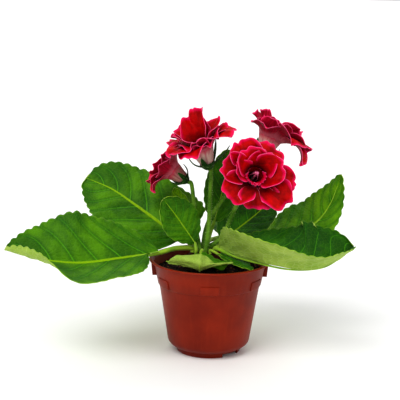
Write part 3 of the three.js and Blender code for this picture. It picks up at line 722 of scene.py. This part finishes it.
def petalFaceMaterial():
    material, tree, shader = startMaterial("petalFace", 0.5, softSkin(0.1, 0.04, rgb(255, 80, 120), 0.4))
    rim = addNode(tree, "ShaderNodeAttribute", {"attribute_name": "rim"}).outputs["Fac"]
    uv = addNode(tree, "ShaderNodeUVMap", {"uv_map": "petal"}).outputs[0]
    parts = addNode(tree, "ShaderNodeSeparateXYZ", None, {0: uv})
    place = objectPlace(tree)
    stretched = addNode(tree, "ShaderNodeMapping", None, {0: uv, "Scale": (30, 2.2, 1)}).outputs[0]
    streak = noiseOf(tree, stretched, 1.0, 3.0)
    cloud = noiseOf(tree, place, 130.0, 3.0)
    color = mixColor(tree, rise(tree, cloud, 0.3, 0.7), rgb(150, 0, 0), rgb(204, 0, 4))
    color = mixColor(tree, times(tree, rise(tree, streak, 0.5, 0.75), 0.3), color, rgb(120, 0, 6))
    # painted shade: the petal darkens towards its root, deep in the throat
    throatShade = rise(tree, parts.outputs[1], 0.62, 0.12)
    color = mixColor(tree, times(tree, throatShade, 0.9), color, rgb(64, 0, 4))
    # the pink margin fades inwards along the fine veins
    wander = times(tree, calc(tree, "SUBTRACT", noiseOf(tree, stretched, 1.6, 2.0), 0.5), 2.6)
    edge = calc(tree, "ADD", rim, wander)
    color = mixColor(tree, rise(tree, edge, 4.6, 1.2), color, rgb(226, 6, 84))
    color = mixColor(tree, rise(tree, edge, 1.0, 0.1), color, rgb(246, 70, 140))
    grain = noiseOf(tree, place, 1800.0, 2.0)
    height = calc(tree, "ADD", times(tree, streak, 0.8), times(tree, grain, 0.25))
    finishMaterial(tree, shader, color, height, 0.5, 0.0004)
    return material


def petalBackMaterial(name, tubeDarkening):
    # cream tube flushed with rose, running out to a duller pink on the backs of the lobes
    material, tree, shader = startMaterial(name, 0.55, softSkin(0.1, 0.08, rgb(255, 200, 210), 0.4))
    rim = addNode(tree, "ShaderNodeAttribute", {"attribute_name": "rim"}).outputs["Fac"]
    uv = addNode(tree, "ShaderNodeUVMap", {"uv_map": "petal"}).outputs[0]
    parts = addNode(tree, "ShaderNodeSeparateXYZ", None, {0: uv})
    onTube = calc(tree, "GREATER_THAN", rim, flowerLook["longestRim"] + 1.0)
    place = objectPlace(tree)
    stretched = addNode(tree, "ShaderNodeMapping", None, {0: uv, "Scale": (26, 1.6, 1)}).outputs[0]
    streak = noiseOf(tree, stretched, 1.0, 3.0)
    # tubeDarkening makes the cream tube and its streaks darker and duller, more on some flowers than others
    tubeColor = [mix(a, b, tubeDarkening) for a, b in zip(rgb(232, 205, 190), rgb(172, 100, 92))]
    lineColor = [mix(a, b, tubeDarkening) for a, b in zip(rgb(205, 135, 140), rgb(130, 40, 52))]
    wallColor = mixColor(tree, rise(tree, streak, 0.42, 0.7), tubeColor, lineColor)
    wallColor = mixColor(tree, rise(tree, parts.outputs[1], 0.6, 1.05), wallColor, rgb(196, 60, 84))
    lobe = mixColor(tree, rise(tree, streak, 0.35, 0.7), rgb(184, 0, 50), rgb(136, 0, 28))
    lobe = mixColor(tree, rise(tree, parts.outputs[1], 0.34, 0.04), lobe, rgb(196, 96, 112))
    edge = calc(tree, "ADD", rim, times(tree, calc(tree, "SUBTRACT", streak, 0.5), 2.0))
    lobe = mixColor(tree, rise(tree, edge, 2.4, 0.3), lobe, rgb(238, 50, 116))
    color = mixColor(tree, onTube, lobe, wallColor)
    grain = noiseOf(tree, place, 1500.0, 2.0)
    height = calc(tree, "ADD", times(tree, streak, 0.8), times(tree, grain, 0.3))
    finishMaterial(tree, shader, color, height, 0.5, 0.0004)
    return material


def petalEdgeMaterial():
    material, tree, shader = startMaterial("petalEdge", 0.5, {"Sheen Weight": 0.3})
    cloud = noiseOf(tree, objectPlace(tree), 260.0, 3.0)
    color = mixColor(tree, rise(tree, cloud, 0.35, 0.65), rgb(236, 36, 112), rgb(252, 100, 158))
    finishMaterial(tree, shader, color)
    return material


def downyMaterial(name, low, high, tip):
    # felted green skin; the short hairs are geometry and share it
    material, tree, shader = startMaterial(name, 0.6, softSkin(0.12, 0.3, rgb(225, 240, 200), 0.3))
    place = objectPlace(tree)
    color = mixColor(tree, rise(tree, noiseOf(tree, place, 70.0, 4.0), 0.35, 0.65), low, high)
    color = mixColor(tree, times(tree, rise(tree, noiseOf(tree, place, 900.0, 2.0), 0.5, 0.8), 0.5),
                     color, tip)
    finishMaterial(tree, shader, color, noiseOf(tree, place, 1500.0, 2.0), 0.5, 0.0004)
    return material


def addHairs(bm, faces, look, slotIndex, seed):
    # short stiff hairs, a few faces each, standing out of the skin
    draw = random.Random(seed)
    count = look["hairs"]
    areas = [f.calc_area() for f in faces]
    chosen = draw.choices(faces, weights=areas, k=count)
    spots = []
    for face in chosen:
        corners = [v.co for v in face.verts]
        weights = [draw.random() + 0.05 for corner in corners]
        spot = sum((c * w for c, w in zip(corners, weights)), Vector()) / sum(weights)
        loose = Vector((draw.uniform(-1, 1), draw.uniform(-1, 1), draw.uniform(-1, 1))) * 0.35
        spots.append((spot, (face.normal + loose).normalized(), look["hairLength"] * draw.uniform(0.6, 1.2)))
    for spot, way, tall in spots:
        turn = way.to_track_quat("Z", "Y").to_matrix().to_4x4()
        place = Matrix.Translation(spot + way * tall * 0.42) @ turn
        hair = bmesh.ops.create_cone(bm, cap_ends=True, segments=3, radius1=0.00007, radius2=0.00002,
                                     depth=tall, matrix=place)["verts"]
        for face in {f for v in hair for f in v.link_faces}:
            face.material_index = slotIndex


stalkLook = {"radius": 2.0, "sides": 16, "steps": 70, "flare": (1.25, 1.2, 1.1), "top": 1.05, "hairs": 620,
             "quickHairs": 60, "hairLength": 0.0013}


def makeStalk(flower, materials):
    axis = Vector(flower["axis"]).normalized() * mm
    top = Vector(flower["foot"]) * mm + axis * (flowerLook["calyxFoot"] * flower["size"] - 0.3)
    route = crownStart(crownLook["innerRing"], flower["start"])
    route += toMetres(flower["stalk"]) + [top - axis * 4, top]
    wide = stalkLook["radius"] * mm
    shares = stalkLook["flare"] + (1.0,) * (len(route) - 4) + (stalkLook["top"],)
    radii = [wide * share for share in shares]
    bm = bmesh.new()
    skin = addTube(bm, route, radii, stalkLook["sides"], stalkLook["steps"], 0)
    addHairs(bm, skin, stalkLook, 1, 11 + flower["start"])
    finishPiece("downy_stalk_" + flower["name"], bm, materials, ["stalk_" + flower["name"]])


calyxLook = {
    "cup": [(1.2, -3.0), (2.4, -2.8), (4.2, -1.6), (6.2, 1.2), (7.4, 4.2)], "ribs": 1.2,
    "sepalRoot": (5.2, 0.2),
    "halfWidth": 3.9, "tipWidth": 0.12, "steps": 30, "thickness": 0.6, "hairs": 420, "quickHairs": 40,
    "hairLength": 0.0011,
}


def makeCalyx(flower, materials):
    # a shallow cup with five long pointed sepals
    bm = bmesh.new()
    layers = petalLayers(bm)
    steps = calyxLook["steps"]
    tubeSheet(bm, layers, calyxLook["cup"], calyxLook["ribs"])
    for i, sepal in enumerate(flower["sepals"]):
        path = leanPath(calyxLook["sepalRoot"], sepal["length"], sepal["lean"], 0, steps)
        outward, aside = outAndAside(sepal["turn"])
        for v in bmesh.ops.create_grid(bm, x_segments=6, y_segments=14, size=1)["verts"]:
            x, y = v.co.x, (v.co.y + 1) / 2
            step = min(int(y * steps), steps - 1)
            radius, height, lean = (mix(path[step][k], path[step + 1][k], y * steps - step) for k in range(3))
            halfWidth = calyxLook["halfWidth"] * (1 - y) ** 0.75 * (0.7 + 0.9 * y) + calyxLook["tipWidth"]
            normal = Vector((0, 0, 1)) * math.sin(lean) - outward * math.cos(lean)
            keel = 0.22 * abs(x) ** 1.5 * halfWidth + 0.5 * y * math.sin(5 * y + i)
            v.co = outward * radius + Vector((0, 0, height)) + aside * (x * halfWidth) + normal * keel
    bm = thicken(bm, calyxLook["thickness"], 1, 0, 0)
    bmesh.ops.transform(bm, matrix=flowerFrame(flower), verts=bm.verts[:])
    addHairs(bm, bm.faces[:], calyxLook, 1, 31 + flower["start"])
    finishPiece("sepals_" + flower["name"], bm, materials, ["calyx_" + flower["name"]])


pistilLook = {
    "style": [(0, 0, 3), (0.4, 0.3, 12), (0.6, 0.8, 20), (0.3, 1.0, 25.5)],
    "styleRadii": [1.5, 1.0, 0.9, 1.1],
    "stigma": (1.35, 1.7, 1.15, 1), "stamens": 5, "threadRadii": [0.45, 0.4, 0.4],
    "anther": (0.9, 0.9, 1.3, 1),
}


def makePistil(flower, materials):
    bm = bmesh.new()
    style = [Vector(point) for point in pistilLook["style"]]
    addTube(bm, style, pistilLook["styleRadii"], 12, 24, 0)
    for side in (-1, 1):
        lobe = bmesh.ops.create_uvsphere(bm, u_segments=16, v_segments=10, radius=1)["verts"]
        place = Matrix.Translation((0.3 + side * 0.95, 1.0, 26.2)) @ Matrix.Diagonal(pistilLook["stigma"])
        bmesh.ops.transform(bm, matrix=place, verts=lobe)
    # the stamens are joined by their tips round the style
    for i in range(pistilLook["stamens"]):
        turn = 2 * math.pi * (i + 0.3) / pistilLook["stamens"]
        out = Vector((math.cos(turn), math.sin(turn), 0))
        thread = [out * 4 + Vector((0, 0, 6)), out * 4.4 + Vector((0, 0, 14)),
                  out * 2.4 + Vector((0.3, 0.9, 21.5))]
        addTube(bm, thread, pistilLook["threadRadii"], 8, 12, 0)
        anther = bmesh.ops.create_uvsphere(bm, u_segments=12, v_segments=8, radius=1)["verts"]
        place = Matrix.Translation(out * 2.1 + Vector((0.3, 0.9, 22))) @ Matrix.Diagonal(pistilLook["anther"])
        bmesh.ops.transform(bm, matrix=place, verts=anther)
    bmesh.ops.transform(bm, matrix=flowerFrame(flower), verts=bm.verts[:])
    finishPiece("style_" + flower["name"], bm, materials, ["pistil_" + flower["name"]])


def pistilMaterial():
    material, tree, shader = startMaterial("pistil", 0.45, {"Sheen Weight": 0.2})
    cloud = noiseOf(tree, objectPlace(tree), 500.0, 3.0)
    color = mixColor(tree, rise(tree, cloud, 0.3, 0.7), rgb(170, 40, 92), rgb(222, 120, 160))
    finishMaterial(tree, shader, color)
    return material


petalFace = petalFaceMaterial()
petalEdge = petalEdgeMaterial()
stalkSkin = downyMaterial("stalkSkin", rgb(72, 120, 20), rgb(112, 158, 44), rgb(150, 190, 90))
stalkHair = downyMaterial("stalkHair", rgb(170, 200, 120), rgb(200, 222, 160), rgb(215, 230, 180))
calyxSkin = downyMaterial("calyxSkin", rgb(14, 52, 10), rgb(40, 88, 20), rgb(70, 120, 44))
pistilSkin = pistilMaterial()
for flower in flowerSet:
    petalBack = petalBackMaterial("petalBack_" + flower["name"], flower["tubeDarkening"])
    petals = [petalFace, petalBack, petalEdge]
    makePetalRing(flower, "outer", flowerLook["outerTube"], flowerLook["outerRoot"], outerPetal, [], petals)
    frills = [{"turn": turn} for turn in (205, 250, 295, 340)]
    makePetalRing(flower, "inner", flowerLook["innerTube"], flowerLook["innerRoot"], innerPetal, frills,
                  petals)
    makeStalk(flower, [stalkSkin, stalkHair])
    makeCalyx(flower, [calyxSkin, stalkHair])
    makePistil(flower, [pistilSkin])
print("flowers made")


# Nursery pot, injection moulded in brick-coloured plastic
potLook = {
    "rimRadius": 60, "height": 93, "wall": 1.5, "collarTop": 55.5, "collarFoot": 51, "collarHeight": 69,
    "bodyTop": 49.7, "bodyFoot": 40.7, "shoulder": 12, "floor": 5, "footRadius": 31.5, "footWidth": 2.2,
    "pad": 8, "steps": 120, "tabs": 6, "tabHeight": 9, "tabProud": 1, "lugRadius": 58.3, "lugWidth": 9,
    "lugHeight": 15, "drains": 6, "drainRadius": 4, "drainCircle": 20,
}


def spinSolid(bm, profile, steps):
    # a turned solid, from a profile that starts and ends on the axis
    line = [bm.verts.new((r * mm, 0, h * mm)) for r, h in profile]
    edges = [bm.edges.new(pair) for pair in zip(line, line[1:])]
    bmesh.ops.spin(bm, geom=line + edges, cent=(0, 0, 0), axis=(0, 0, 1), angle=2 * math.pi, steps=steps,
                   use_merge=True)
    bmesh.ops.remove_doubles(bm, verts=bm.verts[:], dist=1e-6)
    bmesh.ops.recalc_face_normals(bm, faces=bm.faces[:])


def cutWith(bm, cutters):
    # the solid less every cutter
    blank = sceneObject("blank", bm)
    cutter = sceneObject("cutter", cutters)
    cut = blank.modifiers.new("cut", "BOOLEAN")
    cut.operation = "DIFFERENCE"
    cut.object = cutter
    result = afterModifiers(blank)
    dropObject(blank)
    dropObject(cutter)
    return result


def addBentBlock(bm, turn, halfAngle, low, high, bevel):
    # a block that follows the wall: low and high are (inner radius, outer radius, height)
    start = math.radians(turn - halfAngle)
    bentSteps = 8
    corners = [(low[0], low[2]), (low[1], low[2]), (high[1], high[2]), (high[0], high[2])]
    line = [bm.verts.new((r * math.cos(start) * mm, r * math.sin(start) * mm, h * mm)) for r, h in corners]
    face = bm.faces.new(line)
    made = bmesh.ops.spin(bm, geom=[face], cent=(0, 0, 0), axis=(0, 0, 1),
                          angle=math.radians(2 * halfAngle), steps=bentSteps)["geom_last"]
    verts = set(line) | {v for v in made if isinstance(v, bmesh.types.BMVert)}
    faces = {f for v in verts for f in v.link_faces}
    for step in range(bentSteps):
        faces |= {f for face in faces for v in face.verts for f in v.link_faces}
    bmesh.ops.recalc_face_normals(bm, faces=list(faces))
    sharp = [e for e in {e for f in faces for e in f.edges} if e.calc_face_angle(0) > 0.9]
    bmesh.ops.bevel(bm, geom=sharp, offset=bevel * mm, segments=2, profile=0.5, affect="EDGES", material=-1)


def makePot(material):
    p = potLook
    bm = bmesh.new()
    profile = [
        (0, 0), (p["pad"] - 0.5, 0), (p["pad"], 0.4), (p["pad"] + 0.6, p["floor"] - 1.6),
        (p["pad"] + 1.2, p["floor"] - 1), (p["footRadius"] - p["footWidth"] - 0.5, p["floor"] - 1),
        (p["footRadius"] - p["footWidth"], p["floor"] - 1.5), (p["footRadius"] - p["footWidth"], 0.3),
        (p["footRadius"] - p["footWidth"] + 0.3, 0), (p["footRadius"] - 0.4, 0), (p["footRadius"], 0.4),
        (p["footRadius"] + 0.9, p["floor"] - 0.5), (p["footRadius"] + 1.6, p["floor"]),
        (p["bodyFoot"] - 4.4, p["floor"] + 1.2), (p["bodyFoot"] - 2.2, p["floor"] + 3),
        (p["bodyFoot"] - 0.7, p["floor"] + 5), (p["bodyFoot"], p["shoulder"]),
        (mix(p["bodyFoot"], p["bodyTop"], 0.33), mix(p["shoulder"], p["collarHeight"], 0.33)),
        (mix(p["bodyFoot"], p["bodyTop"], 0.66), mix(p["shoulder"], p["collarHeight"], 0.66)),
        (p["bodyTop"] - 0.1, p["collarHeight"] - 1.2), (p["bodyTop"] + 0.2, p["collarHeight"] - 0.6),
        (p["collarFoot"] - 0.4, p["collarHeight"] - 0.3), (p["collarFoot"], p["collarHeight"] + 0.2),
        (mix(p["collarFoot"], p["collarTop"], 0.5), mix(p["collarHeight"], p["height"] - 3, 0.5)),
        (p["collarTop"] - 0.2, p["height"] - 3.4), (p["collarTop"] + 0.6, p["height"] - 2.4),
        (p["rimRadius"] - 0.7, p["height"] - 1.3), (p["rimRadius"] - 0.1, p["height"] - 1.0),
        (p["rimRadius"], p["height"] - 0.6), (p["rimRadius"] - 0.2, p["height"] - 0.15),
        (p["rimRadius"] - 0.6, p["height"]), (p["rimRadius"] - 2.6, p["height"]),
        (p["rimRadius"] - 3.4, p["height"] - 0.4), (p["collarTop"] - p["wall"] + 0.4, p["height"] - 3),
        (p["collarFoot"] - p["wall"], p["collarHeight"]), (p["bodyTop"] - p["wall"], p["collarHeight"] - 2),
        (p["bodyFoot"] - p["wall"], p["shoulder"] + 1), (p["bodyFoot"] - p["wall"] - 3, p["floor"] + 4),
        (p["footRadius"], p["floor"] + p["wall"]), (0, p["floor"] + p["wall"]),
    ]
    spinSolid(bm, profile, p["steps"])
    holes = bmesh.new()
    for i in range(p["drains"]):
        turn = 2 * math.pi * i / p["drains"]
        across, ahead = p["drainCircle"] * math.cos(turn) * mm, p["drainCircle"] * math.sin(turn) * mm
        place = Matrix.Translation((across, ahead, (p["floor"] + 0.5) * mm))
        bmesh.ops.create_cone(holes, cap_ends=True, segments=24, radius1=p["drainRadius"] * mm,
                              radius2=p["drainRadius"] * mm, depth=6 * mm, matrix=place)
    # notches through the foot ring
    for turn in (-45, 135):
        angle = math.radians(turn)
        place = (Matrix.Rotation(angle, 4, "Z") @ Matrix.Translation((30.6 * mm, 0, 1.2 * mm))
                 @ Matrix.Diagonal((7 * mm, 21 * mm, 5 * mm, 1)))
        bmesh.ops.create_cube(holes, size=1, matrix=place)
    bm = cutWith(bm, holes)
    for side in (0, 180):
        half = math.degrees(p["lugWidth"] / 2 / p["lugRadius"])
        lugFoot = p["height"] - 1.8 - p["lugHeight"]
        addBentBlock(bm, side, half, (p["collarFoot"] + 1.5, p["lugRadius"] - 1.6, lugFoot),
                     (p["collarTop"] - 1, p["lugRadius"], p["height"] - 1.5), 0.5)
    for i in range(p["tabs"]):
        addBentBlock(bm, 90 + 360 * i / p["tabs"], 10,
                     (p["collarFoot"] - 0.8, p["collarFoot"] + p["tabProud"], p["collarHeight"] + 0.4),
                     (p["collarFoot"] + 0.8, p["collarFoot"] + p["tabProud"] + 1.7,
                      p["collarHeight"] + p["tabHeight"]), 0.4)
    piece = finishPiece("moulded_pot", bm, [material], ["pot"])
    piece.data.set_sharp_from_angle(angle=math.radians(34))


def potMaterial():
    material, tree, shader = startMaterial("potPlastic", 0.42, {"Specular IOR Level": 0.18})
    place = objectPlace(tree)
    cloud = noiseOf(tree, place, 22.0, 4.0)
    fine = noiseOf(tree, place, 520.0, 3.0)
    # faint vertical flow lines from the mould
    flow = addNode(tree, "ShaderNodeMapping", None, {0: place, "Scale": (260, 260, 9)}).outputs[0]
    line = noiseOf(tree, flow, 1.0, 3.0)
    color = mixColor(tree, rise(tree, cloud, 0.3, 0.7), rgb(116, 24, 0), rgb(140, 36, 4))
    color = mixColor(tree, times(tree, rise(tree, line, 0.45, 0.8), 0.2), color, rgb(160, 52, 16))
    color = mixColor(tree, times(tree, rise(tree, fine, 0.62, 0.75), 0.3), color, rgb(96, 22, 8))
    parts = addNode(tree, "ShaderNodeSeparateXYZ", None, {0: place})
    # painted shade: the pot darkens towards its bottom
    low = rise(tree, parts.outputs[2], 0.03, 0.0)
    color = mixColor(tree, times(tree, low, 0.5), color, rgb(100, 20, 6))
    gloss = calc(tree, "ADD", times(tree, fine, 0.16), 0.34)
    tree.links.new(gloss, shader.inputs["Roughness"])
    height = calc(tree, "ADD", times(tree, fine, 0.5), times(tree, line, 0.5))
    finishMaterial(tree, shader, color, height, 0.22, 0.0005)
    return material


makePot(potMaterial())
print("pot made")


# Potting soil with crumbs and fibres, and the tuber that it holds
soilLook = {"radius": 51, "edge": 83, "crown": 92, "steps": 96, "crumbs": 900, "quickCrumbs": 120,
            "roughness": 1.1}


def soilHeight(x, y):
    radius = math.hypot(x, y)
    mound = mix(soilLook["crown"], soilLook["edge"], smooth(10, 52, radius))
    spot = Vector((x * 0.11, y * 0.11, 3.3))
    return mound + soilLook["roughness"] * (noise.noise(spot) + 0.7 * noise.noise(spot * 2.7)
                                            + 0.6 * noise.noise(spot * 6.1))


def makeSoil(materials):
    p = potLook
    reach = soilLook["radius"]
    bm = bmesh.new()
    profile = [(0, p["floor"] + 2), (p["footRadius"] - 1, p["floor"] + 2),
               (p["bodyFoot"] - p["wall"] - 3.6, p["floor"] + 4.6),
               (p["bodyFoot"] - p["wall"] - 0.3, p["shoulder"] + 3),
               (p["bodyTop"] - 2, p["collarHeight"] - 4),
               (p["collarFoot"] - p["wall"] - 1.2, p["collarHeight"]), (reach + 1, soilLook["edge"] - 0.8)]
    profile += [(reach - 3 * i, soilLook["edge"]) for i in range(17)] + [(0, soilLook["crown"])]
    spinSolid(bm, profile, soilLook["steps"])
    for v in bm.verts:
        if v.co.z > (soilLook["edge"] - 0.5) * mm and v.normal.z > 0.2:
            v.co.z = soilHeight(v.co.x / mm, v.co.y / mm) * mm
    draw = random.Random(5)
    for i in range(soilLook["crumbs"]):
        turn, out = draw.uniform(0, 2 * math.pi), reach * math.sqrt(draw.uniform(0.02, 1))
        x, y = out * math.cos(turn), out * math.sin(turn)
        size = draw.uniform(0.5, 1.7)
        crumb = bmesh.ops.create_icosphere(bm, subdivisions=1, radius=1)["verts"]
        place = Matrix.Translation(Vector((x, y, soilHeight(x, y) + size * 0.2)) * mm)
        turned = Matrix.Rotation(draw.uniform(0, 6), 4, "Z") @ Matrix.Rotation(draw.uniform(-1, 1), 4, "X")
        shape = (size * mm, size * draw.uniform(0.5, 1) * mm, size * draw.uniform(0.4, 0.8) * mm, 1)
        bmesh.ops.transform(bm, matrix=place @ turned @ Matrix.Diagonal(shape), verts=crumb)
        for v in crumb:
            v.co += Vector((draw.uniform(-1, 1), draw.uniform(-1, 1), draw.uniform(-1, 1))) * 0.15 * mm * size
        shade = 1 if draw.random() < 0.22 else 0
        for face in {f for v in crumb for f in v.link_faces}:
            face.material_index = shade
    finishPiece("potting_soil", bm, materials, ["soil"])


def earthMaterial(name, dark, light):
    material, tree, shader = startMaterial(name, 0.95, {"Specular IOR Level": 0.15})
    place = objectPlace(tree)
    color = mixColor(tree, rise(tree, noiseOf(tree, place, 300.0, 5.0, 0.65), 0.4, 0.7), dark, light)
    finishMaterial(tree, shader, color, noiseOf(tree, place, 700.0, 4.0, 0.7), 0.8, 0.0012)
    return material


tuberLook = {
    "profile": [(0, 70), (8, 71), (14, 74), (18.5, 78), (21, 83), (21, 87), (19.5, 91), (15, 94.6), (8, 96.2),
                (0, 96.4)],
    "steps": 48, "hairs": 500, "quickHairs": 40, "hairLength": 0.0016,
}


def makeTuber(material):
    centre = crownLook["centre"]
    bm = bmesh.new()
    spinSolid(bm, tuberLook["profile"], tuberLook["steps"])
    for v in bm.verts:
        knob = noise.noise(Vector((v.co.x * 130, v.co.y * 130, v.co.z * 130)))
        v.co *= 1 + 0.004 * knob
        v.co += Vector((centre[0], centre[1], 0)) * mm
    # short hairs of the crown
    skin = [f for f in bm.faces if f.normal.z > 0.3]
    addHairs(bm, skin, tuberLook, 0, 77)
    finishPiece("tuber_crown", bm, [material], ["tuber"])


makeSoil([earthMaterial("darkEarth", rgb(20, 12, 8), rgb(52, 34, 24)),
          earthMaterial("paleCrumb", rgb(90, 56, 34), rgb(142, 96, 62))])
makeTuber(earthMaterial("tuberSkin", rgb(58, 26, 16), rgb(104, 52, 30)))
print("soil and tuber made")


# Camera at the height of a seated viewer, looking slightly down
viewLook = {"target": (-10.8, 0, 152), "distance": 1300, "pitch": 12.0, "roll": 1.0, "lens": 119.4}
pitch = math.radians(viewLook["pitch"])
lookAt = Vector(viewLook["target"]) * mm
away = Vector((0, -math.cos(pitch), math.sin(pitch))) * viewLook["distance"] * mm
cameraData = bpy.data.cameras.new("camera")
cameraData.lens = viewLook["lens"]
cameraData.sensor_width = 36
camera = bpy.data.objects.new("camera", cameraData)
camera.location = lookAt + away
camera.rotation_euler = (Matrix.Rotation(math.pi / 2 - pitch, 4, "X")
                         @ Matrix.Rotation(math.radians(viewLook["roll"]), 4, "Z")).to_euler()
scene.collection.objects.link(camera)
scene.camera = camera

# Pale floor and soft studio light
bm = bmesh.new()
bmesh.ops.create_grid(bm, x_segments=1, y_segments=1, size=6)
floorPiece = sceneObject("floor", bm)
floorMaterial, tree, shader = startMaterial("paleFloor", 0.8)
shader.inputs["Base Color"].default_value = (0.92, 0.92, 0.92, 1)
floorPiece.data.materials.append(floorMaterial)

lightLook = {"sky": 0.7, "key": 1.7, "fill": 0.5, "back": 0.5, "softness": 40}
world = bpy.data.worlds.new("studio")
scene.world = world
world.use_nodes = True
world.node_tree.nodes["Background"].inputs[0].default_value = (1, 1, 1, 1)
world.node_tree.nodes["Background"].inputs[1].default_value = lightLook["sky"]


def addLamp(name, place, strength):
    # a broad, even light from one side
    data = bpy.data.lights.new(name, "SUN")
    data.angle = math.radians(lightLook["softness"])
    data.energy = strength
    lamp = bpy.data.objects.new(name, data)
    lamp.location = place
    lamp.rotation_euler = (-Vector(place)).to_track_quat("-Z", "Y").to_euler()
    scene.collection.objects.link(lamp)


addLamp("key", (-0.7, -1.0, 1.4), lightLook["key"])
addLamp("fill", (1.3, -0.9, 0.8), lightLook["fill"])
addLamp("back", (0.2, 1.3, 1.4), lightLook["back"])
scene.view_settings.view_transform = "Standard"
scene.view_settings.gamma = 0.85
print("camera and light ready")
